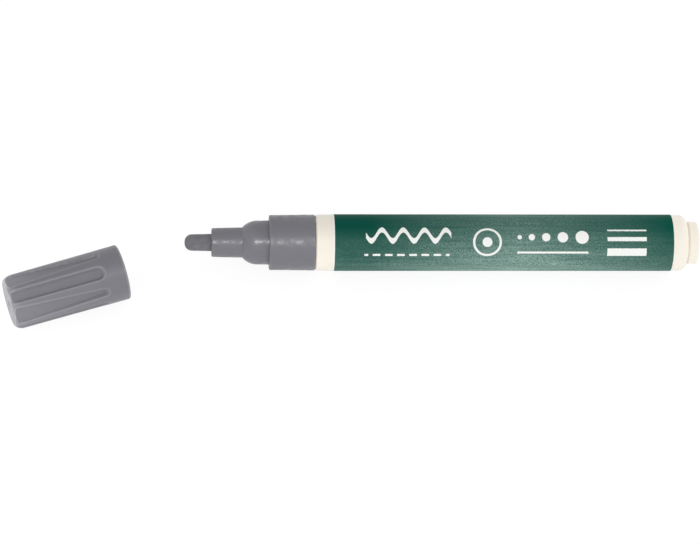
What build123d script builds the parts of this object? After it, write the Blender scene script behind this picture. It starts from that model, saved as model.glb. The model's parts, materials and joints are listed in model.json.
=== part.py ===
from build123d import *

import os
from math import cos, pi, radians, sin, sqrt, tau

# A valve-type liquid chalk marker, lying on a table beside its cap, in millimetres.
# The marker's axis is X, with the nib towards -X, and the origin is at the middle of the label.
# The table is one label radius below the axis. The cap lies on it, taken off, nib side and nearer -Y.
# Radii are shares of the label's radius, so a thicker or thinner marker keeps its proportions.

# Label film and barrel
label_length = 90.0
label_radius = 7.5
label_thickness = 0.08
front_band = 4.62
rear_band = 1.93
barrel_wall = 1.1
barrel_front_round = 1.0
shoulder_land = 0.25
barrel_end_wall = 2.0

# End plug
plug_hole_radius = 0.66 * label_radius
plug_head_radius = 0.75 * label_radius
plug_head_length = 2.95
plug_head_round = 0.7
plug_head_chamfer = 0.55
plug_skirt_length = 2.5
plug_wall = 1.1
plug_bead_height = 0.25
plug_bead_width = 0.8

# Front section: collar, dome that seats the cap, and neck
collar_length = 11.95
collar_front_radius = 0.9653 * label_radius
collar_rear_radius = 0.9827 * label_radius
collar_round = 0.4
dome_length = 7.05
dome_radius = 0.776 * label_radius
dome_arc_length = 4.0
dome_draft = 0.03
neck_length = 8.1
neck_front_radius = 0.5067 * label_radius
neck_rear_radius = 0.532 * label_radius
neck_round = 0.45
spigot_length = 8.85
snap_height = 0.2
snap_width = 1.2
snap_setback = 3.0

# Passages inside the front section
guide_bore_radius = 0.4 * label_radius
guide_lip_length = 2.0
guide_rib_count = 6
guide_rib_width = 0.8
chamber_radius = 0.56 * label_radius
chamber_setback = 1.9
valve_bore_radius = 0.6933 * label_radius
valve_shoulder = 1.0

# Nib
nib_exposed = 7.05
nib_length = 18.45
nib_radius = 0.304 * label_radius
nib_nose_radius = 0.284 * label_radius
nib_nose_round = 0.2533 * label_radius

# Valve seat, stem, cage and spring
seat_thickness = 3.0
orifice_radius = 0.2 * label_radius
seat_cone_radius = 0.3067 * label_radius
seat_cone_depth = 0.8
stem_pad_radius = 0.2133 * label_radius
stem_pad_length = 1.0
stem_rod_radius = 0.1333 * label_radius
stem_head_radius = 0.3467 * label_radius
stem_head_length = 1.15
stem_tail_radius = 0.12 * label_radius
stem_tail_overhang = 1.6
cage_flange_length = 1.2
cage_inner_radius = 0.4133 * label_radius
cage_wall = 0.8
cage_floor = 1.0
cage_window_count = 3
cage_window_width = 0.4 * label_radius
cage_window_margin = 1.4
spring_wire_radius = 0.225
spring_coil_radius = 0.2267 * label_radius
spring_turns = 6
spring_reserve = 1.85
valve_stroke = 2.0

# Mixing ball, drawn where it rests in the lying barrel
ball_radius = 0.4 * label_radius
ball_x = 10.0

# Cap, measured from its mouth
cap_length = 30.9
cap_mouth_radius = 0.9733 * label_radius
cap_end_radius = 0.9533 * label_radius
cap_rim_length = 0.32 * label_radius
cap_rim_drop = 0.1467 * label_radius
cap_end_wall = 2.0
cap_bore_radius = 0.7 * label_radius
cap_throat_length = 1.8
cap_mouth_chamfer = 0.25
flute_pairs = 4
flute_mouth_band = 6.2
flute_floor = 0.84 * label_radius
straight_flute_width = 0.316 * label_radius
taper_flute_tip = 0.1333 * label_radius
taper_flute_end = 0.6187 * label_radius
flute_draft = 38
flute_brink_round = 0.06 * label_radius
seal_cone_length = 3.2
seal_flare = 0.1133 * label_radius
well_end_radius = 0.4 * label_radius
inner_cap_wall = 1.2

# Cap's place on the table: its mouth from the collar's front face, and its turn in the table's plane
cap_away = 38.35
cap_aside = 8.75
cap_turn = 18.05
cap_roll = 18.6

# Clearances on the radius, or along the axis where two faces close on each other
press_gap = 0.02
slide_gap = 0.08
valve_gap = 0.05
ball_gap = 0.1
seal_gap = 0.1
cap_gap = 0.32
cap_seat_gap = 0.15
overrun = 1.0

# Radii that follow from a wall or a fit. The rear shoulder rounds off all but a land for the plug's head
barrel_radius = label_radius - label_thickness - press_gap
barrel_bore_radius = barrel_radius - barrel_wall
barrel_rear_round = barrel_radius - plug_hole_radius - shoulder_land
spigot_radius = barrel_bore_radius - press_gap
nib_hole_radius = nib_radius + slide_gap
plug_shank_radius = plug_hole_radius - press_gap
plug_bore_radius = plug_shank_radius - plug_wall
seat_radius = valve_bore_radius - press_gap
tail_hole_radius = stem_tail_radius + 2 * slide_gap

# Stations along the axis
label_front = -label_length / 2
barrel_front = label_front - front_band
barrel_rear = label_length / 2 + rear_band + barrel_rear_round
plug_rear = barrel_rear + plug_head_length
collar_front = barrel_front - collar_length
dome_front = collar_front - dome_length
neck_front = dome_front - neck_length
nib_tip = neck_front - nib_exposed
nib_rear = nib_tip + nib_length
spigot_rear = barrel_front + spigot_length
snap_x = spigot_rear - snap_setback
guide_lip_rear = neck_front + guide_lip_length
chamber_front = dome_front + chamber_setback
seat_front = collar_front + valve_shoulder
seat_rear = seat_front + seat_thickness
flange_rear = seat_rear + cage_flange_length
head_rear = seat_rear + valve_gap + stem_head_length
spring_solid_length = 2 * spring_wire_radius * (spring_turns + 1)
spring_space = spring_solid_length + valve_stroke + spring_reserve
floor_front = head_rear + spring_space
cage_rear = floor_front + cage_floor
stem_rear = cage_rear + stem_tail_overhang

os.makedirs("parts", exist_ok=True)

# Barrel: a tube with a rounded front rim and a closed, rounded shoulder behind
with BuildPart() as barrel:
    with BuildSketch(Plane.XY) as barrel_profile:
        Polygon(
            (barrel_front, barrel_bore_radius),
            (barrel_front, barrel_radius),
            (barrel_rear, barrel_radius),
            (barrel_rear, plug_hole_radius),
            (barrel_rear - barrel_end_wall, plug_hole_radius),
            (barrel_rear - barrel_end_wall, barrel_bore_radius),
            align=None,
        )
        rims = barrel_profile.vertices().group_by(Axis.X)
        fillet(rims[0].sort_by(Axis.Y)[-1], barrel_front_round)
        rims = barrel_profile.vertices().group_by(Axis.X)
        fillet(rims[-1].sort_by(Axis.Y)[-1], barrel_rear_round)
    revolve(axis=Axis.X)
    with BuildSketch(Plane.XY):
        with Locations((snap_x, barrel_bore_radius)):
            Rectangle(snap_width + 2 * press_gap, 2 * (snap_height + press_gap))
    revolve(axis=Axis.X, mode=Mode.SUBTRACT)
barrel.part.label = "barrel"
export_step(barrel.part, "parts/barrel.step")

# Label: a thin printed sleeve
with BuildPart() as label:
    with BuildSketch(Plane.YZ.offset(label_front)):
        Circle(label_radius)
        Circle(label_radius - label_thickness, mode=Mode.SUBTRACT)
    extrude(amount=label_length)
label.part.label = "label"
export_step(label.part, "parts/label.step")

# End plug: a hollow stopper with a head behind the barrel and a snap bead inside its end wall
wall_front = barrel_rear - barrel_end_wall
plug_front = wall_front - plug_skirt_length
bead_rear = wall_front - press_gap
with BuildPart() as end_plug:
    with BuildSketch(Plane.XY) as plug_profile:
        Polygon(
            (plug_front, plug_bore_radius),
            (plug_front, plug_shank_radius),
            (bead_rear - plug_bead_width, plug_shank_radius),
            (bead_rear, plug_shank_radius + plug_bead_height),
            (bead_rear, plug_shank_radius),
            (barrel_rear, plug_shank_radius),
            (barrel_rear, plug_head_radius - plug_head_chamfer),
            (barrel_rear + plug_head_chamfer, plug_head_radius),
            (plug_rear, plug_head_radius),
            (plug_rear, 0),
            (plug_rear - plug_wall, 0),
            (plug_rear - plug_wall, plug_bore_radius),
            align=None,
        )
        head_rim = plug_profile.vertices().group_by(Axis.X)[-1]
        fillet(head_rim.sort_by(Axis.Y)[-1], plug_head_round)
    revolve(axis=Axis.X)
end_plug.part.label = "end_plug"
export_step(end_plug.part, "parts/end_plug.step")

# Front section: neck, dome and collar in one moulding, hollow for the nib and the valve
dome_shoulder = (dome_front + dome_arc_length, dome_radius - dome_draft)
with BuildPart() as front_section:
    with BuildSketch(Plane.XY) as front_profile:
        with BuildLine():
            Polyline(
                (neck_front, nib_hole_radius),
                (neck_front, neck_front_radius),
                (dome_front, neck_rear_radius),
            )
            TangentArc(dome_shoulder, (dome_front, neck_rear_radius), tangent=(-1, 0))
            Polyline(
                dome_shoulder,
                (collar_front, dome_radius),
                (collar_front, collar_front_radius),
                (barrel_front, collar_rear_radius),
                (barrel_front, spigot_radius),
                (spigot_rear, spigot_radius),
                (spigot_rear, valve_bore_radius),
                (seat_front, valve_bore_radius),
                (seat_front, chamber_radius),
                (chamber_front, chamber_radius),
                (chamber_front, guide_bore_radius),
                (guide_lip_rear, guide_bore_radius),
                (guide_lip_rear, nib_hole_radius),
                (neck_front, nib_hole_radius),
            )
        make_face()
        neck_corner = front_profile.vertices().filter_by_position(Axis.X, neck_front, neck_front)
        fillet(neck_corner.sort_by(Axis.Y)[-1], neck_round)
        collar_corner = front_profile.vertices().filter_by_position(
            Axis.X, collar_front, collar_front
        )
        fillet(collar_corner.sort_by(Axis.Y)[-1], collar_round)
    revolve(axis=Axis.X)
    # Ribs that guide the nib and leave channels for the paint
    rib_reach = guide_bore_radius + slide_gap - nib_hole_radius
    with BuildSketch(Plane.YZ.offset(guide_lip_rear)):
        with PolarLocations(nib_hole_radius + rib_reach / 2, guide_rib_count):
            Rectangle(rib_reach, guide_rib_width)
    extrude(amount=chamber_front - guide_lip_rear)
    # Snap bead on the spigot, which clicks into the barrel's groove
    with BuildSketch(Plane.XY):
        Polygon(
            (snap_x - snap_width / 2, spigot_radius),
            (snap_x, spigot_radius + snap_height),
            (snap_x + snap_width / 2, spigot_radius),
            (snap_x, spigot_radius - snap_height),
            align=None,
        )
    revolve(axis=Axis.X)
front_section.part.label = "front_section"
export_step(front_section.part, "parts/front_section.step")

# Nib: a bullet-nosed rod of pressed fibre, a little thinner towards its nose
with BuildPart() as nib:
    with BuildSketch(Plane.XY) as nib_profile:
        Polygon(
            (nib_tip, 0),
            (nib_tip, nib_nose_radius),
            (neck_front, nib_radius),
            (nib_rear, nib_radius),
            (nib_rear, 0),
            align=None,
        )
        nose = nib_profile.vertices().group_by(Axis.X)[0]
        fillet(nose.sort_by(Axis.Y)[-1], nib_nose_round)
    revolve(axis=Axis.X)
nib.part.label = "nib"
export_step(nib.part, "parts/nib.step")

# Valve seat: a disc with a hole that opens in a cone behind
with BuildPart() as valve_seat:
    with BuildSketch(Plane.XY):
        Polygon(
            (seat_front, orifice_radius),
            (seat_front, seat_radius),
            (seat_rear, seat_radius),
            (seat_rear, seat_cone_radius),
            (seat_rear - seat_cone_depth, orifice_radius),
            align=None,
        )
    revolve(axis=Axis.X)
valve_seat.part.label = "valve_seat"
export_step(valve_seat.part, "parts/valve_seat.step")

# Valve stem: pad behind the nib, rod through the seat, conical head, and a tail inside the spring
cone_front = seat_rear + valve_gap - seat_cone_depth
pad_rear = nib_rear + stem_pad_length
with BuildPart() as valve_stem:
    with BuildSketch(Plane.XY):
        Polygon(
            (nib_rear, 0),
            (nib_rear, stem_pad_radius),
            (pad_rear, stem_pad_radius),
            (pad_rear, stem_rod_radius),
            (cone_front, stem_rod_radius),
            (cone_front, orifice_radius),
            (seat_rear + valve_gap, seat_cone_radius),
            (seat_rear + valve_gap, stem_head_radius),
            (head_rear, stem_head_radius),
            (head_rear, stem_tail_radius),
            (stem_rear, stem_tail_radius),
            (stem_rear, 0),
            align=None,
        )
    revolve(axis=Axis.X)
valve_stem.part.label = "valve_stem"
export_step(valve_stem.part, "parts/valve_stem.step")

# Valve cage: a flange behind the seat and a windowed cup that backs the spring and guides the tail
cage_outer_radius = cage_inner_radius + cage_wall
window_x = (flange_rear + floor_front) / 2
window_length = floor_front - flange_rear - 2 * cage_window_margin
window_planes = [
    Plane.XY.rotated((turn * 360 / cage_window_count, 0, 0)) for turn in range(cage_window_count)
]
with BuildPart() as valve_cage:
    with BuildSketch(Plane.XY):
        Polygon(
            (seat_rear, cage_inner_radius),
            (seat_rear, seat_radius),
            (flange_rear, seat_radius),
            (flange_rear, cage_outer_radius),
            (cage_rear, cage_outer_radius),
            (cage_rear, tail_hole_radius),
            (floor_front, tail_hole_radius),
            (floor_front, cage_inner_radius),
            align=None,
        )
    revolve(axis=Axis.X)
    with BuildSketch(*window_planes):
        with Locations((window_x, 0)):
            RectangleRounded(window_length, cage_window_width, cage_wall)
    extrude(amount=cage_outer_radius + overrun, mode=Mode.SUBTRACT)
valve_cage.part.label = "valve_cage"
export_step(valve_cage.part, "parts/valve_cage.step")

# Valve spring: round wire in an open helix, each quarter turn drawn as two arcs that share a tangent
spring_front = head_rear + spring_wire_radius + press_gap
spring_rise = spring_space - 2 * (spring_wire_radius + press_gap)
spring_pitch = spring_rise / spring_turns


def coil_point(turns):
    """Returns the place on the coil's centre line after this many turns."""
    angle = tau * turns
    x = spring_front + spring_pitch * turns
    return Vector(x, spring_coil_radius * cos(angle), spring_coil_radius * sin(angle))


def coil_tangent(turns):
    """Returns the direction of the coil's centre line after this many turns."""
    angle = tau * turns
    around = tau * spring_coil_radius
    return Vector(spring_pitch, -around * sin(angle), around * cos(angle)).normalized()


def coil_arcs(begin, end):
    """Draws one stretch of the coil as two arcs that leave and arrive along the helix."""
    start, finish = coil_point(begin), coil_point(end)
    leave, arrive = coil_tangent(begin), coil_tangent(end)
    span = finish - start
    both = span.dot(leave + arrive)
    spread = 2 * (1 - leave.dot(arrive))
    reach = (sqrt(both * both + spread * span.dot(span)) - both) / spread
    middle = ((start + leave * reach) + (finish - arrive * reach)) * 0.5
    first = TangentArc(start, middle, tangent=leave)
    TangentArc(middle, finish, tangent=first % 1)


with BuildPart() as valve_spring:
    with BuildLine() as coil:
        for quarter in range(4 * spring_turns):
            coil_arcs(quarter / 4, (quarter + 1) / 4)
    with BuildSketch(Plane(coil_point(0), z_dir=coil_tangent(0))):
        Circle(spring_wire_radius)
    sweep(path=coil.wire())
valve_spring.part.label = "valve_spring"
export_step(valve_spring.part, "parts/valve_spring.step")
wire_length = spring_turns * sqrt((tau * spring_coil_radius) ** 2 + spring_pitch**2)
wire_volume = pi * spring_wire_radius**2 * wire_length
print("spring gap", round(spring_pitch - 2 * spring_wire_radius, 3))
print("spring volume", round(valve_spring.part.volume, 4), "section times length", round(wire_volume, 4))

# Mixing ball: loose in the barrel, lying on its lower wall
with BuildPart() as mixing_ball:
    with Locations((ball_x, 0, ball_radius + ball_gap - barrel_bore_radius)):
        Sphere(ball_radius)
mixing_ball.part.label = "mixing_ball"
export_step(mixing_ball.part, "parts/mixing_ball.step")

# Cap's own frame: X from its mouth towards its closed end, Z up from the table
cap_mouth = Vector(collar_front - cap_away, -cap_aside, cap_mouth_radius - label_radius)
cap_inwards = Vector(-cos(radians(cap_turn)), -sin(radians(cap_turn)), 0)
cap_frame = Plane(origin=cap_mouth, x_dir=cap_inwards, z_dir=(0, 0, 1))
cap_axis = Axis(cap_mouth, cap_inwards)

# Inside sizes of the cap that follow from the nose it covers
mouth_bore_radius = dome_radius + cap_gap
mouth_bore_depth = dome_length - dome_arc_length + overrun
throat_depth = mouth_bore_depth + cap_throat_length
cap_bore_depth = cap_length - cap_end_wall
neck_depth = dome_length + neck_length - cap_seat_gap
seal_radius = neck_front_radius + seal_gap
rim_start = cap_length - cap_rim_length
rim_radius = cap_end_radius - cap_rim_drop


def flute_outline(tip_width, end_width):
    """Draws a flute's floor: a round tip behind the mouth band, and sides that pass the closed end."""
    tip_x = flute_mouth_band + tip_width / 2
    tip = ThreePointArc((tip_x, -tip_width / 2), (flute_mouth_band, 0), (tip_x, tip_width / 2))
    Polyline(
        tip @ 1,
        (cap_length, end_width / 2),
        (cap_length + overrun, end_width / 2),
        (cap_length + overrun, -end_width / 2),
        (cap_length, -end_width / 2),
        tip @ 0,
    )


def flute_planes(first_angle):
    """Returns the floor planes of every second flute round the cap, from this angle."""
    step = 360 / flute_pairs
    planes = []
    for copy in range(flute_pairs):
        outwards = Vector(0, 0, 1).rotate(cap_axis, first_angle - cap_roll + step * copy)
        planes.append(Plane(origin=cap_mouth, x_dir=cap_inwards, z_dir=outwards).offset(flute_floor))
    return planes


flute_kinds = [
    (0, straight_flute_width, straight_flute_width),
    (180 / flute_pairs, taper_flute_tip, taper_flute_end),
]

# Cap shell: round rim at the closed end, straight and tapered flutes by turns, plain band at the mouth
with BuildPart() as cap_shell:
    with BuildSketch(cap_frame):
        with BuildLine():
            Polyline(
                (0, mouth_bore_radius + cap_mouth_chamfer),
                (0, cap_mouth_radius - cap_mouth_chamfer),
                (cap_mouth_chamfer, cap_mouth_radius),
                (rim_start, cap_end_radius),
            )
            TangentArc((rim_start, cap_end_radius), (cap_length, rim_radius), tangent=(1, 0))
            Polyline(
                (cap_length, rim_radius),
                (cap_length, 0),
                (cap_bore_depth, 0),
                (cap_bore_depth, cap_bore_radius),
                (throat_depth, cap_bore_radius),
                (mouth_bore_depth, mouth_bore_radius),
                (cap_mouth_chamfer, mouth_bore_radius),
                (0, mouth_bore_radius + cap_mouth_chamfer),
            )
        make_face()
    revolve(axis=cap_axis)
    flute_height = cap_mouth_radius - flute_floor + overrun
    for first_angle, tip_width, end_width in flute_kinds:
        with BuildSketch(*flute_planes(first_angle)):
            with BuildLine():
                flute_outline(tip_width, end_width)
            make_face()
        extrude(amount=flute_height, taper=-flute_draft, mode=Mode.SUBTRACT)
    # The brinks of all the flutes are rounded in one pass
    outer_face = cap_shell.faces().filter_by(GeomType.CONE).sort_by(SortBy.AREA)[-1]
    brink_edges = outer_face.edges().filter_by(GeomType.CIRCLE, reverse=True)
    fillet(brink_edges.filter_by(GeomType.LINE, reverse=True), flute_brink_round)
cap_shell.part.label = "cap_shell"
export_step(cap_shell.part, "parts/cap_shell.step")

# Inner cap: a liner pressed to the bottom of the cap, with a cone that closes on the neck's front edge
inner_cap_radius = cap_bore_radius - press_gap
with BuildPart() as inner_cap:
    with BuildSketch(cap_frame):
        Polygon(
            (neck_depth - seal_cone_length, seal_radius + seal_flare),
            (neck_depth - seal_cone_length, inner_cap_radius),
            (cap_bore_depth, inner_cap_radius),
            (cap_bore_depth, 0),
            (cap_bore_depth - inner_cap_wall, 0),
            (cap_bore_depth - inner_cap_wall, well_end_radius),
            (neck_depth, seal_radius),
            align=None,
        )
    revolve(axis=cap_axis)
inner_cap.part.label = "inner_cap"
export_step(inner_cap.part, "parts/inner_cap.step")
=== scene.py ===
# %% [markdown]
# # A liquid chalk marker with its cap off
#
# The solids come from the CAD model, in metres and already in place. This notebook gives each of them
# the surface of its real material, adds the small traces of moulding and wrapping that only the eye
# needs, and sets the light and the camera of a product picture.

import json
from math import cos, pi, radians, sin

import bpy
from mathutils import Matrix, Vector


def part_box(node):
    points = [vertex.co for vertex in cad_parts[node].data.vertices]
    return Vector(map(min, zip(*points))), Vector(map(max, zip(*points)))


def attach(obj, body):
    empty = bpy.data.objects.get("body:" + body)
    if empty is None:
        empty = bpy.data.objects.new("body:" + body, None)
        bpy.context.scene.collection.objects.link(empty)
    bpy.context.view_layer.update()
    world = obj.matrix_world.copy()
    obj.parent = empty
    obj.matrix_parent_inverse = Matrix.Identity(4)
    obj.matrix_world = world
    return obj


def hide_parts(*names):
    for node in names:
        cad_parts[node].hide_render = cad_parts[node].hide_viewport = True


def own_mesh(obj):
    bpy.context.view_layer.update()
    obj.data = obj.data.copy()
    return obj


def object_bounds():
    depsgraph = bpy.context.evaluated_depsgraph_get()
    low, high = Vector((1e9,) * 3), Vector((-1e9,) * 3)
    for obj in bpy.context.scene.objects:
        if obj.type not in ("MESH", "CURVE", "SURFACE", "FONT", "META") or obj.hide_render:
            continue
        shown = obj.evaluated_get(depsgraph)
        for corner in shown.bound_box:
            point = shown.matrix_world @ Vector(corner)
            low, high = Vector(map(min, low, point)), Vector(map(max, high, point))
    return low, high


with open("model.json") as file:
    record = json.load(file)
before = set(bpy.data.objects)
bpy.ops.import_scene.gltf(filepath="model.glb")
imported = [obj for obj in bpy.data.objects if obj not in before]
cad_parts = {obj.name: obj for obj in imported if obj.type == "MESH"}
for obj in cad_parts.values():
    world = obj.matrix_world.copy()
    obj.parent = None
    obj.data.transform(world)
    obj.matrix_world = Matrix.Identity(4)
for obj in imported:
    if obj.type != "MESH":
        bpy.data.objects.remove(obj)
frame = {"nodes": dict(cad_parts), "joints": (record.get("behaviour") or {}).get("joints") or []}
cad_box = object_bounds()
nodes = frame["nodes"]
joints = {joint["name"]: joint for joint in frame["joints"]}
bpy.ops.object.select_all(action="DESELECT")
mm = 0.001
print("pieces from CAD:", ", ".join(sorted(nodes)))
print("joints from CAD:", ", ".join(sorted(joints)))

# %% [markdown]
# ## The camera
#
# A product picture is taken from well back with a long lens, so the barrel hardly tapers. The camera
# looks down at 60 degrees and is rolled until the marker's axis lies level in the picture. The roll
# could be turned by eye. Here it is worked out: the camera's right is the marker's axis, seen
# square to the line of sight.

# %% Camera
aim = Vector((-40.43, -8.95, 0)) * mm
elevation = radians(60)
azimuth = radians(7.013)
camera_distance = 0.7872
sensor_width = 36
# The focal length is counted in pixels of a picture this wide
picture_width = 700
focal_length = 3000

marker_axis = Vector((1, 0, 0))
to_camera = Vector((-cos(elevation) * sin(azimuth), -cos(elevation) * cos(azimuth), sin(elevation)))
camera_right = (marker_axis - to_camera * marker_axis.dot(to_camera)).normalized()
camera_up = to_camera.cross(camera_right)
camera_turn = Matrix((camera_right, camera_up, to_camera)).transposed().to_euler()
bpy.ops.object.camera_add(location=aim + to_camera * camera_distance, rotation=camera_turn)
camera = bpy.context.object
camera.data.sensor_width = sensor_width
camera.data.lens = sensor_width * focal_length / picture_width
camera.data.clip_start = 10 * mm
bpy.context.scene.camera = camera
bpy.context.scene.view_settings.view_transform = "Standard"
print("camera at", [round(v, 4) for v in camera.location], "with a lens of", round(camera.data.lens), "mm")

# %% [markdown]
# ## Helpers for shaders
#
# Colours are picked in a picture as sRGB hex values, while shaders count light, so one function turns
# them to linear. Another adds a node, sets its properties, and fills its sockets with values or
# links, so that a material reads as a list of nodes. Two short ones start a material and hand it to a
# CAD piece.

# %% Helpers
def linear(hex_colour):
    """Turns an sRGB hex colour into linear RGBA."""
    channels = [int(hex_colour[place : place + 2], 16) / 255 for place in (1, 3, 5)]
    return [c / 12.92 if c <= 0.04045 else ((c + 0.055) / 1.055) ** 2.4 for c in channels] + [1.0]


def add_node(tree, kind, feeds=None, **settings):
    """Adds one node to a tree, with its settings, and fills its inputs with values or links."""
    node = tree.nodes.new(kind)
    for name, value in settings.items():
        setattr(node, name, value)
    for socket, feed in (feeds or {}).items():
        if isinstance(feed, bpy.types.NodeSocket):
            tree.links.new(feed, node.inputs[socket])
        else:
            node.inputs[socket].default_value = feed
    return node


def new_material(name):
    """Makes an empty node material and returns it with its tree."""
    material = bpy.data.materials.new(name)
    material.use_nodes = True
    material.node_tree.nodes.clear()
    return material, material.node_tree


def dress(node_name, material):
    """Gives a CAD piece its one material."""
    slots = nodes[node_name].data.materials
    slots.clear()
    slots.append(material)


print("mid grey as linear light:", [round(c, 3) for c in linear("#808080")])

# %% [markdown]
# ## Floor and background
#
# The picture shows the marker on pure white. A white floor under plain light comes out pale grey, so
# what the camera sees of it is lifted: part of its own light stays, which keeps the soft shadow under
# the marker, and the rest is plain white. The world does the same. Reflections see that white too,
# while the light that falls on the marker stays at a plain level.

# %% Floor and world
white = (1, 1, 1, 1)
floor_size = 4
floor_lift = 0.84
floor_glow = 1.06
world_light = 0.82
world_seen = 1.0


def seen_rays(tree):
    """Adds a switch that is 1 for rays that show a surface, and 0 for rays that carry its light."""
    rays = add_node(tree, "ShaderNodeLightPath").outputs
    seen = rays["Is Camera Ray"]
    for kind in ("Is Glossy Ray", "Is Transmission Ray"):
        either = add_node(tree, "ShaderNodeMath", {0: seen, 1: rays[kind]}, operation="MAXIMUM")
        seen = either.outputs[0]
    return seen


floor_z = cad_box[0].z
bpy.ops.mesh.primitive_plane_add(size=floor_size, location=(0, 0, floor_z))
floor = bpy.context.object
floor.name = "floor"

sweep, tree = new_material("white paper sweep")
lift = add_node(tree, "ShaderNodeMath", {0: seen_rays(tree), 1: floor_lift}, operation="MULTIPLY")
paper = add_node(tree, "ShaderNodeBsdfDiffuse", {"Color": linear("#F7F7F7")})
glow = add_node(tree, "ShaderNodeEmission", {"Color": white, "Strength": floor_glow})
mixed = add_node(
    tree,
    "ShaderNodeMixShader",
    {0: lift.outputs[0], 1: paper.outputs[0], 2: glow.outputs[0]},
)
add_node(tree, "ShaderNodeOutputMaterial", {"Surface": mixed.outputs[0]})
floor.data.materials.append(sweep)

world = bpy.data.worlds.new("white studio")
bpy.context.scene.world = world
world.use_nodes = True
tree = world.node_tree
tree.nodes.clear()
studio = add_node(tree, "ShaderNodeBackground", {"Color": white, "Strength": world_light})
backdrop = add_node(tree, "ShaderNodeBackground", {"Color": white, "Strength": world_seen})
mixed = add_node(
    tree,
    "ShaderNodeMixShader",
    {0: seen_rays(tree), 1: studio.outputs[0], 2: backdrop.outputs[0]},
)
add_node(tree, "ShaderNodeOutputWorld", {"Surface": mixed.outputs[0]})
print("floor at z =", round(floor_z / mm, 2), "mm")

# %% [markdown]
# ## Studio light
#
# Even light from all round does most of the work. A wide soft box low on the near side makes the lower
# half of the barrel a little brighter than its back. A small box on the left catches the rounded edges
# of the cap and the dome. Three more stand close to the ends, two at the closed end of the cap, in front
# and behind, and one behind the barrel, and their light fades within a few centimetres. All boxes are
# kept out of reflections, because their broad images would wash over the dark plastic. A strip next to
# the camera is there only for reflections: it draws the soft highlight along the grey mouldings.

# %% Lamps
def add_lamp(name, target, stand, width, height, watts):
    """Adds a flat lamp that stands off from a target and faces it, with its width along the marker."""
    place = target + stand
    turn = (target - place).to_track_quat("-Z", "Y").to_euler()
    bpy.ops.object.light_add(type="AREA", location=place, rotation=turn)
    lamp = bpy.context.object
    lamp.name = name
    lamp.data.shape = "RECTANGLE"
    lamp.data.size = width
    lamp.data.size_y = height
    lamp.data.energy = watts
    return lamp


cap_low, cap_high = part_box("cap_shell")
cap_middle = (cap_low + cap_high) / 2
# The upper far edge of the cap's closed end
cap_edge = cap_low + Vector((0, 0.011, 0.012))
plug_end = Vector((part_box("end_plug")[1].x, 0, 0))
# Each box: its target, where it stands from there, its width and height in metres, and its watts
boxes = {
    "near soft box": (aim, (0.18, -0.86, 0.24), 1.0, 0.6, 2.7),
    "left box": (cap_middle, (-0.28, -0.05, 0.03), 0.1, 0.1, 0.25),
    "cap box": (cap_low, (-0.03, -0.03, 0.014), 0.02, 0.02, 0.013),
    "edge box": (cap_edge, (-0.0124, 0.0067, 0.0025), 0.008, 0.008, 0.0021),
    "right box": (plug_end, (0.05, 0.035, 0.055), 0.03, 0.03, 0.014),
}
for name, (target, stand, width, height, watts) in boxes.items():
    box = add_lamp(name, target, Vector(stand), width, height, watts)
    box.visible_glossy = False

# The strip stands left of the middle, and above the line of sight by a share of its distance
strip_shift = 0.065
strip_rise = 0.05
strip_distance = 0.75
strip_target = aim - camera_right * strip_shift
strip_stand = (to_camera + camera_up * strip_rise) * strip_distance
strip = add_lamp("strip by the camera", strip_target, strip_stand, width=0.27, height=0.05, watts=3.6)
strip.visible_diffuse = False

# %% [markdown]
# ## Moulded plastic
#
# Barrel, plug, front section and cap are injection-moulded polypropylene. The steel mould is
# spark-eroded, which leaves a fine satin grain, and the plastic shrinks a little unevenly as it cools,
# so a highlight on it is never quite straight. Both are drawn as bump, the grain at 0.4 mm because its
# real 0.05 mm would not show. The colour drifts slightly where the pigment mixed unevenly. Edges are
# painted paler, as a painted highlight for the light their rounded brinks catch: rays sent inwards from
# the surface meet another wall soon only near an edge, so ambient occlusion turned inside finds the
# edges without a mask made by hand.

# %% A recipe for moulded plastic
pigment_size = 7 * mm
edge_reach = 0.6 * mm
# Shares of inward rays that stay open: on a plain surface, and at a sharp edge
plain_share = 0.97
edge_share = 0.72
mould_grain = 0.4 * mm
sink_size = 2.4 * mm
sheen_size = 1.6 * mm
plastic_ior = 1.49


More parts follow.
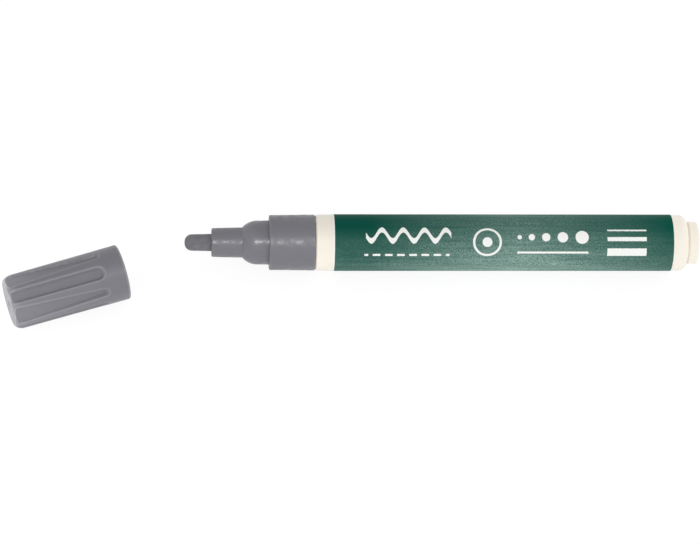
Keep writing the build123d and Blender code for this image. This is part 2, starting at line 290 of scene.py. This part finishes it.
def moulded_plastic(name, tones, roughness, uneven, grain_depth, sink_depth, gloss=0.5, **sockets):
    """Makes a plastic from light and dark tones and a painted edge highlight tone, with its grain and sink
    depths in mm.
    """
    light_tone, dark_tone, edge_highlight_tone = tones
    material, tree = new_material(name)
    place = add_node(tree, "ShaderNodeTexCoord").outputs["Object"]
    pigment = add_node(
        tree, "ShaderNodeTexNoise", {"Vector": place, "Scale": 1 / pigment_size, "Detail": 3}
    )
    tone = add_node(
        tree,
        "ShaderNodeMix",
        {"Factor": pigment.outputs["Fac"], "A": linear(dark_tone), "B": linear(light_tone)},
        data_type="RGBA",
    )
    depth = add_node(
        tree,
        "ShaderNodeAmbientOcclusion",
        {"Distance": edge_reach},
        inside=True,
        only_local=True,
        samples=12,
    )
    # Paler edges are a painted highlight, for the light that their rounding catches
    edge = add_node(
        tree,
        "ShaderNodeMapRange",
        {"Value": depth.outputs["AO"], "From Min": plain_share, "From Max": edge_share},
        interpolation_type="SMOOTHSTEP",
    )
    edge_lit_tone = add_node(
        tree,
        "ShaderNodeMix",
        {"Factor": edge.outputs["Result"], "A": tone.outputs["Result"], "B": linear(edge_highlight_tone)},
        data_type="RGBA",
    )
    sinks = add_node(tree, "ShaderNodeTexNoise", {"Vector": place, "Scale": 1 / sink_size, "Detail": 1})
    waves = add_node(
        tree,
        "ShaderNodeBump",
        {"Strength": 1, "Distance": sink_depth * mm, "Height": sinks.outputs["Fac"]},
    )
    grain = add_node(tree, "ShaderNodeTexNoise", {"Vector": place, "Scale": 1 / mould_grain, "Detail": 2})
    skin = add_node(
        tree,
        "ShaderNodeBump",
        {
            "Strength": 1,
            "Distance": grain_depth * mm,
            "Height": grain.outputs["Fac"],
            "Normal": waves.outputs["Normal"],
        },
    )
    sheen = add_node(tree, "ShaderNodeTexNoise", {"Vector": place, "Scale": 1 / sheen_size, "Detail": 1})
    polish = add_node(
        tree,
        "ShaderNodeMapRange",
        {
            "Value": sheen.outputs["Fac"],
            "From Min": 0.38,
            "From Max": 0.62,
            "To Min": roughness,
            "To Max": roughness + uneven,
        },
    )
    shader = add_node(
        tree,
        "ShaderNodeBsdfPrincipled",
        {
            "Base Color": edge_lit_tone.outputs["Result"],
            "Roughness": polish.outputs["Result"],
            "IOR": plastic_ior,
            "Specular IOR Level": gloss,
            "Normal": skin.outputs["Normal"],
            **sockets,
        },
    )
    add_node(tree, "ShaderNodeOutputMaterial", {"Surface": shader.outputs["BSDF"]})
    return material


print("mould grain at", round(mould_grain / mm, 2), "mm, sink marks at", round(sink_size / mm, 2), "mm")

# %% [markdown]
# ## The marker's plastics
#
# One recipe serves them all, and each gets a paler tone at its edges as a painted highlight. Cream lets a
# little light through, which softens its joints. Grey is smoother, in patches, and its satin grain takes
# away part of its gloss. The cap is the same grey, dulled by handling, with a strong painted highlight
# along its brinks. Inside are a milky liner, soft enough to seal, and a valve of acetal, which slides
# well and doesn't swell in water.

# %% Cream, grey, milky and natural plastics
translucent = {
    "Subsurface Weight": 0.12,
    "Subsurface Radius": (1, 0.8, 0.6),
    "Subsurface Scale": 0.8 * mm,
}
# The third tone of each plastic is its painted edge highlight; the cap's is far paler than its grey
cream = moulded_plastic(
    "moulded cream polypropylene",
    ("#F1EBDF", "#EDE6DA", "#F4EEE4"),
    roughness=0.38,
    uneven=0.1,
    grain_depth=0.006,
    sink_depth=0.02,
    gloss=0.15,
    **translucent,
)
grey = moulded_plastic(
    "moulded grey polypropylene",
    ("#717177", "#6E6E74", "#747479"),
    roughness=0.3,
    uneven=0.22,
    grain_depth=0.003,
    sink_depth=0.07,
    gloss=0.35,
)
handled_edge_lit = moulded_plastic(
    "handled grey polypropylene",
    ("#75757B", "#717177", "#A1A1A6"),
    roughness=0.36,
    uneven=0.1,
    grain_depth=0.004,
    sink_depth=0.05,
    gloss=0.3,
)
milky = moulded_plastic(
    "milky polyethylene",
    ("#E6E6E2", "#DEDEDA", "#ECECE8"),
    roughness=0.42,
    uneven=0.08,
    grain_depth=0.004,
    sink_depth=0.02,
)
acetal = moulded_plastic(
    "natural acetal",
    ("#F2F1EC", "#ECEBE5", "#F5F4F0"),
    roughness=0.32,
    uneven=0.08,
    grain_depth=0.003,
    sink_depth=0.01,
)
plastics = {
    "barrel": cream,
    "end_plug": cream,
    "front_section": grey,
    "cap_shell": handled_edge_lit,
    "inner_cap": milky,
    "valve_seat": acetal,
    "valve_stem": acetal,
    "valve_cage": acetal,
}
for piece, plastic in plastics.items():
    dress(piece, plastic)
    print(piece, "is", plastic.name)

# %% [markdown]
# ## Pressed fibre nib
#
# The nib is a bundle of fine synthetic fibres, bonded and ground to a bullet. It is dull, with short
# streaks along its length and a slightly mottled tone where it has soaked up pigment. Single fibres
# could be modelled as hair, but the nib is ground smooth, so streaks in its colour and bump are enough.
# Fibres of 0.03 mm would not show, so the streaks are drawn 0.25 mm wide.

# %% Nib
streak_width = 0.25 * mm
streak_squeeze = 0.15
soak_size = 1.5 * mm
fibre, tree = new_material("bonded polyester fibre")
place = add_node(tree, "ShaderNodeTexCoord").outputs["Object"]
along = add_node(tree, "ShaderNodeMapping", {"Vector": place, "Scale": (streak_squeeze, 1, 1)})
streaks = add_node(
    tree,
    "ShaderNodeTexNoise",
    {"Vector": along.outputs["Vector"], "Scale": 1 / streak_width, "Detail": 3},
)
soak = add_node(tree, "ShaderNodeTexNoise", {"Vector": place, "Scale": 1 / soak_size, "Detail": 2})
blotch = add_node(
    tree,
    "ShaderNodeMath",
    {0: streaks.outputs["Fac"], 1: soak.outputs["Fac"]},
    operation="MULTIPLY",
)
spread = add_node(
    tree, "ShaderNodeMapRange", {"Value": blotch.outputs[0], "From Min": 0.1, "From Max": 0.42}
)
tone = add_node(
    tree,
    "ShaderNodeMix",
    {"Factor": spread.outputs["Result"], "A": linear("#65656A"), "B": linear("#75757A")},
    data_type="RGBA",
)
felt = add_node(
    tree,
    "ShaderNodeBump",
    {"Strength": 0.8, "Distance": 0.04 * mm, "Height": streaks.outputs["Fac"]},
)
shader = add_node(
    tree,
    "ShaderNodeBsdfPrincipled",
    {
        "Base Color": tone.outputs["Result"],
        "Roughness": 0.85,
        "IOR": 1.45,
        "Sheen Weight": 0.15,
        "Normal": felt.outputs["Normal"],
    },
)
add_node(tree, "ShaderNodeOutputMaterial", {"Surface": shader.outputs["BSDF"]})
dress("nib", fibre)
print("nib is", fibre.name)

# %% [markdown]
# ## Steel inside
#
# The mixing ball is tumbled bright and the spring is drawn wire. Neither shows from outside, and both
# get fine tumbling or drawing marks, so that they look right when the marker is opened up. The marks
# are far finer than a mesh could carry, so they are noise in the roughness and the bump.

# %% Steel
def bright_steel(name, tone, roughness, mark_size, stretch):
    """Makes a bare steel with marks of this size in mm, drawn out along one axis."""
    material, tree = new_material(name)
    place = add_node(tree, "ShaderNodeTexCoord").outputs["Object"]
    drawn = add_node(tree, "ShaderNodeMapping", {"Vector": place, "Scale": stretch})
    marks = add_node(
        tree,
        "ShaderNodeTexNoise",
        {"Vector": drawn.outputs["Vector"], "Scale": 1 / (mark_size * mm), "Detail": 3},
    )
    polish = add_node(
        tree,
        "ShaderNodeMapRange",
        {"Value": marks.outputs["Fac"], "To Min": roughness * 0.7, "To Max": roughness * 1.3},
    )
    scratch = add_node(
        tree,
        "ShaderNodeBump",
        {"Strength": 0.4, "Distance": 0.004 * mm, "Height": marks.outputs["Fac"]},
    )
    shader = add_node(
        tree,
        "ShaderNodeBsdfPrincipled",
        {
            "Base Color": linear(tone),
            "Metallic": 1,
            "Roughness": polish.outputs["Result"],
            "Normal": scratch.outputs["Normal"],
        },
    )
    add_node(tree, "ShaderNodeOutputMaterial", {"Surface": shader.outputs["BSDF"]})
    return material


wire = bright_steel("drawn stainless wire", "#C9C8C6", roughness=0.3, mark_size=0.2, stretch=(1, 1, 0.2))
tumbled = bright_steel("tumbled steel ball", "#CFCFCE", roughness=0.15, mark_size=0.5, stretch=(1, 1, 1))
for piece, steel in (("valve_spring", wire), ("mixing_ball", tumbled)):
    dress(piece, steel)
    print(piece, "is", steel.name)

# %% [markdown]
# ## The valve spring
#
# Pressing the nib pushes the stem back and squeezes a spring, which then closes the valve again. A rigid
# coil can't get shorter; a coil with a mesh of its own stands for the CAD one. It could be drawn as a
# curve with a round bevel. Here the Screw modifier carries a circle of the wire's size round the axis
# and forward at once, which is what a coiling machine does with the wire.

# %% Valve spring
wire_radius = 0.225 * mm
wire_sides = 16
coil_turns = 6
steps_per_turn = 40
spring_low, spring_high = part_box("valve_spring")
spring_length = spring_high.x - spring_low.x
bpy.ops.object.select_all(action="DESELECT")
bpy.ops.mesh.primitive_circle_add(
    vertices=wire_sides,
    radius=wire_radius,
    location=(spring_low.x + wire_radius, spring_high.y - wire_radius, 0),
)
coil = bpy.context.object
coil.name = "coil_spring"
bpy.ops.object.transform_apply(location=True, rotation=True, scale=True)
wind = coil.modifiers.new("wind", "SCREW")
wind.axis = "X"
wind.screw_offset = (spring_length - 2 * wire_radius) / coil_turns
wind.iterations = coil_turns
wind.steps = steps_per_turn
wind.render_steps = steps_per_turn
bpy.ops.object.modifier_apply(modifier="wind")
bpy.ops.object.mode_set(mode="EDIT")
bpy.ops.mesh.select_all(action="SELECT")
bpy.ops.mesh.remove_doubles(threshold=0.001 * mm)
bpy.ops.mesh.fill_holes(sides=0)
bpy.ops.mesh.select_all(action="SELECT")
bpy.ops.mesh.normals_make_consistent(inside=False)
bpy.ops.object.mode_set(mode="OBJECT")
bpy.ops.object.shade_smooth_by_angle(angle=radians(40))
coil.data.materials.append(wire)
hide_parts("valve_spring")
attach(coil, "marker")
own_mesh(coil)
print("coil in mm:", [round(v / mm, 3) for v in coil.dimensions])
print("CAD spring in mm:", [round(v / mm, 3) for v in spring_high - spring_low])

# %% [markdown]
# ## The label: an unrolled sheet
#
# The label is a matt printed film that looks like a used chalkboard. A print is drawn on a flat sheet in
# millimetres, so the shader first unrolls the cylinder: u runs along the axis, and v is the arc from the
# line that faces the camera. A chalk mark is then a distance in that sheet, below zero inside the mark.
# Each mark is written as rows of small sums, with the name of a result, an operation and what it works
# on, and its last row is the mark itself.

# %% Rows for chalk marks
def bar(name, u, v, half_length, half_width):
    """Rows for a straight chalk stroke along the sheet."""
    return [
        (name + " u", "SUBTRACT", "u", u),
        (name + " reach", "ABSOLUTE", name + " u"),
        (name + " end", "SUBTRACT", name + " reach", half_length),
        (name + " v", "SUBTRACT", "v", v),
        (name + " side", "ABSOLUTE", name + " v"),
        (name + " edge", "SUBTRACT", name + " side", half_width),
        (name, "MAXIMUM", name + " end", name + " edge"),
    ]


def dashes(name, u, v, half_length, half_width, pitch, half_dash):
    """Rows for a straight stroke that is broken into dashes."""
    return bar(name + " stroke", u, v, half_length, half_width) + [
        (name + " place", "FLOORED_MODULO", "u", pitch),
        (name + " from middle", "SUBTRACT", name + " place", pitch / 2),
        (name + " reach", "ABSOLUTE", name + " from middle"),
        (name + " end", "SUBTRACT", name + " reach", half_dash),
        (name, "MAXIMUM", name + " stroke", name + " end"),
    ]


def wave(name, u, v, half_length, half_width, pitch, height):
    """Rows for a wavy stroke, cut off at both ends."""
    return [
        (name + " turn", "MULTIPLY", "u", 2 * pi / pitch),
        (name + " sine", "SINE", name + " turn"),
        (name + " line", "MULTIPLY_ADD", name + " sine", height, v),
        (name + " v", "SUBTRACT", "v", name + " line"),
        (name + " side", "ABSOLUTE", name + " v"),
        (name + " edge", "SUBTRACT", name + " side", half_width),
        (name + " u", "SUBTRACT", "u", u),
        (name + " reach", "ABSOLUTE", name + " u"),
        (name + " end", "SUBTRACT", name + " reach", half_length),
        (name, "MAXIMUM", name + " end", name + " edge"),
    ]


def dot(name, u, v, radius):
    """Rows for a round chalk dot."""
    return [
        (name + " u", "SUBTRACT", "u", u),
        (name + " v", "SUBTRACT", "v", v),
        (name + " u2", "MULTIPLY", name + " u", name + " u"),
        (name + " square", "MULTIPLY_ADD", name + " v", name + " v", name + " u2"),
        (name + " away", "SQRT", name + " square"),
        (name, "SUBTRACT", name + " away", radius),
    ]


def ring(name, u, v, radius, half_width):
    """Rows for a round chalk line."""
    return dot(name + " disc", u, v, radius) + [
        (name + " line", "ABSOLUTE", name + " disc"),
        (name, "SUBTRACT", name + " line", half_width),
    ]


label_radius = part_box("label")[1].y / mm
label_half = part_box("label")[1].x / mm
print("label sheet:", round(2 * label_half, 1), "x", round(2 * pi * label_radius, 1), "mm")

# %% [markdown]
# ## The label: chalk marks
#
# The print shows what the marker draws: a bold wave over dashes, a ring round a dot, dots that grow over
# a thin line, and strokes of three widths. One more line, far from view, is the cut edge where the
# wrapped film ends on itself. A loop turns the rows into math nodes, and the smallest of all distances
# belongs to the nearest mark.

# %% Chalk marks
overlap_width = 5.0
# Where each dot sits along the sheet, with its radius, and each stroke across it, with half its width
growing_dots = {4.0: 0.6, 7.2: 0.85, 11.0: 1.1, 15.4: 1.4, 20.5: 1.75}
broader_strokes = {3.3: 0.22, 0.9: 0.55, -2.6: 1.05}
marks = [
    wave("wave", u=-25.2, v=1.9, half_length=11.2, half_width=0.75, pitch=5.6, height=1.5),
    dashes("dashes", u=-25.6, v=-3.4, half_length=11.2, half_width=0.3, pitch=3.2, half_dash=1.0),
    ring("ring", u=-4.5, v=0.1, radius=3.5, half_width=0.3),
    dot("bead", u=-4.5, v=0.1, radius=1.3),
    *(dot(f"dot at {u}", u, v=1.4, radius=radius) for u, radius in growing_dots.items()),
    bar("rule", u=12.8, v=-2.7, half_length=9.4, half_width=0.28),
    *(
        bar(f"stroke at {v}", u=32.4, v=v, half_length=5.2, half_width=half_width)
        for v, half_width in broader_strokes.items()
    ),
    bar("cut edge", u=0, v=pi * label_radius - overlap_width, half_length=label_half, half_width=0.08),
]
film, tree = new_material("printed polypropylene film")
place = add_node(tree, "ShaderNodeTexCoord").outputs["Object"]
facing = add_node(
    tree,
    "ShaderNodeMapping",
    {"Vector": place, "Rotation": (elevation - pi / 2, 0, 0), "Scale": (1 / mm, 1 / mm, 1 / mm)},
)
axes = add_node(tree, "ShaderNodeSeparateXYZ", {"Vector": facing.outputs["Vector"]})
results = {"u": axes.outputs["X"], "across": axes.outputs["Y"], "out": axes.outputs["Z"]}


def add_sums(rows):
    """Turns rows of sums into math nodes and keeps each result under its name."""
    for name, operation, *feeds in rows:
        inputs = {at: results.get(feed, feed) for at, feed in enumerate(feeds)}
        results[name] = add_node(tree, "ShaderNodeMath", inputs, operation=operation).outputs[0]


add_sums([("turn", "ARCTAN2", "across", "out"), ("v", "MULTIPLY", "turn", label_radius)])
for mark in marks:
    add_sums(mark)
nearest, *others = [mark[-1][0] for mark in marks]
for other in others:
    add_sums([("nearest of " + other, "MINIMUM", nearest, other)])
    nearest = "nearest of " + other
print("chalk marks:", ", ".join(mark[-1][0] for mark in marks))

# %% [markdown]
# ## The label: chalk dust and painted sheen
#
# The board has been wiped, and chalk dust lies on it: thick in the middle, where a cloth goes back and
# forth, thin towards the ends, and a little thicker at the rear one. Towards the near side the board is
# painted paler and the heap thicker: a painted sheen for the broad reflection of the near soft box, drawn
# in the dust's colour. Dust and sheen are grainy and streaked along the wiping. A scan of a wiped board
# could be wrapped round the label. Noise at the sizes of real grain and streaks does the same without one.

# %% Dust and painted sheen
dust_grain = 0.3 * mm
heap_u = 3
heap_reach = 38
rear_slowness = 0.93
heap_dust = 0.184
heap_base = 0.73
heap_sheen_gain = 5.6
no_sheen_v = 4.2
full_sheen_v = -9.5
near_sheen = 0.105
streak_width = 0.9 * mm
wiping_squeeze = 0.06
wiping_slant = radians(4)
noise_span = {"From Min": 0.3, "From Max": 0.7}

add_sums(
    [
        ("rear of heap", "SUBTRACT", "u", heap_u),
        ("front of heap", "MULTIPLY", "rear of heap", -1),
        ("slower rear", "MULTIPLY", "rear of heap", rear_slowness),
        ("heap reach", "MAXIMUM", "front of heap", "slower rear"),
    ]
)
heap = add_node(
    tree,
    "ShaderNodeMapRange",
    {"Value": results["heap reach"], "From Max": heap_reach, "To Min": heap_dust, "To Max": 0},
)
# Paler towards the near side: painted sheen, the near soft box's broad reflection drawn as dust
painted_sheen = add_node(
    tree,
    "ShaderNodeMapRange",
    {"Value": results["v"], "From Min": no_sheen_v, "From Max": full_sheen_v, "To Max": near_sheen},
)
grain = add_node(tree, "ShaderNodeTexNoise", {"Vector": place, "Scale": 1 / dust_grain, "Detail": 4})
speckle = add_node(
    tree,
    "ShaderNodeMapRange",
    {"Value": grain.outputs["Fac"], **noise_span, "To Min": 0.3, "To Max": 1.7},
)
wiping = add_node(
    tree,
    "ShaderNodeMapping",
    {"Vector": place, "Rotation": (0, 0, wiping_slant), "Scale": (wiping_squeeze, 1, 1)},
)
streaks = add_node(
    tree,
    "ShaderNodeTexNoise",
    {"Vector": wiping.outputs["Vector"], "Scale": 1 / streak_width, "Detail": 3},
)
cloth = add_node(
    tree,
    "ShaderNodeMapRange",
    {"Value": streaks.outputs["Fac"], **noise_span, "To Min": 0.74, "To Max": 1.26},
)
results["heap"] = heap.outputs["Result"]
results["painted_sheen"] = painted_sheen.outputs["Result"]
results["speckle"] = speckle.outputs["Result"]
results["cloth"] = cloth.outputs["Result"]
add_sums(
    [
        # the heap is thicker towards the near side, as part of the painted sheen
        ("heap share", "MULTIPLY_ADD", "painted_sheen", heap_sheen_gain, heap_base),
        ("even dust", "MULTIPLY_ADD", "heap", "heap share", "painted_sheen"),
        ("grainy dust", "MULTIPLY", "even dust", "speckle"),
        ("dust_and_sheen", "MULTIPLY", "grainy dust", "cloth"),
    ]
)
print("dust grain at", round(dust_grain / mm, 2), "mm, streaks at", round(streak_width / mm, 2), "mm")

# %% [markdown]
# ## The label: print and film
#
# The board is a deep green, the chalk nearly white, and the marks crumble a little at their edges. The
# film is cut with a thin white margin at each end, and the print sits a little towards the rear on it.
# Its matt coating leaves the film almost no gloss.

# %% Print and film
crumble = 0.3
chalk_start = 0.22
chalk_full = 0.06
print_shift = 0.18
margin_width = 0.3

results["grain"] = grain.outputs["Fac"]
add_sums(
    [
        ("crumbled", "MULTIPLY_ADD", "grain", crumble, nearest),
        ("print u", "SUBTRACT", "u", print_shift),
        ("from middle", "ABSOLUTE", "print u"),
        ("margin", "GREATER_THAN", "from middle", label_half - margin_width),
    ]
)
chalk = add_node(
    tree,
    "ShaderNodeMapRange",
    {"Value": results["crumbled"], "From Min": chalk_start, "From Max": chalk_full},
    interpolation_type="SMOOTHSTEP",
)
# The pale dust colour also carries the painted sheen
board = add_node(
    tree,
    "ShaderNodeMix",
    {"Factor": results["dust_and_sheen"], "A": linear("#044B3F"), "B": linear("#D8F4EA")},
    data_type="RGBA",
)
drawn = add_node(
    tree,
    "ShaderNodeMix",
    {"Factor": chalk.outputs["Result"], "A": board.outputs["Result"], "B": linear("#EEEFEC")},
    data_type="RGBA",
)
printed = add_node(
    tree,
    "ShaderNodeMix",
    {"Factor": results["margin"], "A": drawn.outputs["Result"], "B": linear("#EFEDE6")},
    data_type="RGBA",
)
relief = add_node(
    tree,
    "ShaderNodeBump",
    {"Strength": 0.3, "Distance": 0.01 * mm, "Height": grain.outputs["Fac"]},
)
shader = add_node(
    tree,
    "ShaderNodeBsdfPrincipled",
    {
        "Base Color": printed.outputs["Result"],
        "Roughness": 0.5,
        "IOR": 1.5,
        "Specular IOR Level": 0.04,
        "Normal": relief.outputs["Normal"],
    },
)
add_node(tree, "ShaderNodeOutputMaterial", {"Surface": shader.outputs["BSDF"]})
dress("label", film)
print("label is", film.name, "with", len(tree.nodes), "nodes")

# %% [markdown]
# ## The label's overlap
#
# A wrapped label ends on itself, in a strip of double film along the side that faces away. It could be
# modelled as a bent plate. Here a tube of the film's size is cut by two planes through its axis, which
# leaves exactly the strip, and the Solidify modifier then gives it the film's thickness.

# %% Overlap strip
# In millimetres, as all of the label's sizes
film_thickness = 0.05
glue_line = 0.01
tube_sides = 240
# Both are angles about the axis. The strip starts at the line that faces away from the camera.
strip_start = -elevation
strip_end = strip_start + overlap_width / label_radius
bpy.ops.object.select_all(action="DESELECT")
bpy.ops.mesh.primitive_cylinder_add(
    vertices=tube_sides,
    radius=(label_radius + glue_line) * mm,
    depth=2 * label_half * mm,
    end_fill_type="NOTHING",
    rotation=(0, pi / 2, 0),
)
overlap = bpy.context.object
overlap.name = "label_overlap"
bpy.ops.object.transform_apply(location=True, rotation=True, scale=True)
bpy.ops.object.mode_set(mode="EDIT")
for turn, drop_inner in ((strip_start, True), (strip_end, False)):
    bpy.ops.mesh.select_all(action="SELECT")
    bpy.ops.mesh.bisect(
        plane_co=(0, 0, 0),
        plane_no=(0, -sin(turn), cos(turn)),
        clear_inner=drop_inner,
        clear_outer=not drop_inner,
    )
bpy.ops.object.mode_set(mode="OBJECT")
wall = overlap.modifiers.new("film", "SOLIDIFY")
wall.thickness = film_thickness * mm
wall.offset = 1
bpy.ops.object.modifier_apply(modifier="film")
bpy.ops.object.shade_smooth_by_angle(angle=radians(30))
overlap.data.materials.append(film)
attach(overlap, "marker")
print("overlap strip in mm:", [round(v / mm, 2) for v in overlap.dimensions])

# %% [markdown]
# ## Gate marks
#
# Plastic enters a mould through a gate, and where it is torn off, a small round scar stays. The cap has
# one in the middle of its closed end, and the plug one in its rear face. Each starts as a thin disc: its
# outer face is inset and pressed in to a dimple, and a bevel rounds its rim. The cap lies turned, by as
# much as its joint turns it back, and the middle of its closed end is measured on its mesh.

# %% Gate marks
disc_sides = 40
disc_height = 0.2 * mm
rim_round = 0.03 * mm
# Each step of the dimple: its inset as a share of the radius, and how far it is pressed in
dimple_steps = ((0.35, 0.05 * mm), (0.25, 0.03 * mm))
# Radii of the marks on the cap and on the plug
cap_mark = 0.8 * mm
plug_mark = 0.7 * mm


def add_gate_mark(name, centre, outwards, radius, body, material):
    """Adds a dimpled scar that is half sunk in the surface and rides on a body."""
    bpy.ops.object.select_all(action="DESELECT")
    bpy.ops.mesh.primitive_cylinder_add(
        vertices=disc_sides,
        radius=radius,
        depth=disc_height,
        location=centre,
        rotation=outwards.to_track_quat("Z", "Y").to_euler(),
    )
    mark = bpy.context.object
    mark.name = name
    bpy.ops.object.transform_apply(location=True, rotation=True, scale=True)
    bpy.context.tool_settings.mesh_select_mode = (False, False, True)
    for face in mark.data.polygons:
        face.select = face.normal.dot(outwards) > 0.9
    bpy.ops.object.mode_set(mode="EDIT")
    for inset, depth in dimple_steps:
        bpy.ops.mesh.inset(thickness=inset * radius)
        bpy.ops.transform.translate(value=outwards * -depth)
    bpy.ops.object.mode_set(mode="OBJECT")
    rim = mark.modifiers.new("rim", "BEVEL")
    rim.width = rim_round
    rim.segments = 2
    bpy.ops.object.modifier_apply(modifier="rim")
    bpy.ops.object.shade_smooth_by_angle(angle=radians(40))
    mark.data.materials.append(material)
    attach(mark, body)
    return mark


cap_turn = radians(joints["cap_swing"]["range_deg"][1])
cap_out = Vector((-cos(cap_turn), -sin(cap_turn), 0))
cap_points = [vertex.co for vertex in nodes["cap_shell"].data.vertices]
cap_reach = max(point.dot(cap_out) for point in cap_points)
end_ring = [point for point in cap_points if point.dot(cap_out) > cap_reach - 0.01 * mm]
cap_end = cap_out * cap_reach
for across in (Vector((-sin(cap_turn), cos(cap_turn), 0)), Vector((0, 0, 1))):
    sides = [point.dot(across) for point in end_ring]
    cap_end += across * (min(sides) + max(sides)) / 2
print("middle of the cap's closed end in mm:", [round(v / mm, 2) for v in cap_end])

for scar in (
    add_gate_mark("cap_gate_mark", cap_end, cap_out, cap_mark, "cap", grey),
    add_gate_mark("plug_gate_mark", plug_end, marker_axis, plug_mark, "marker", cream),
):
    print(scar.name, "with", len(scar.data.polygons), "faces")
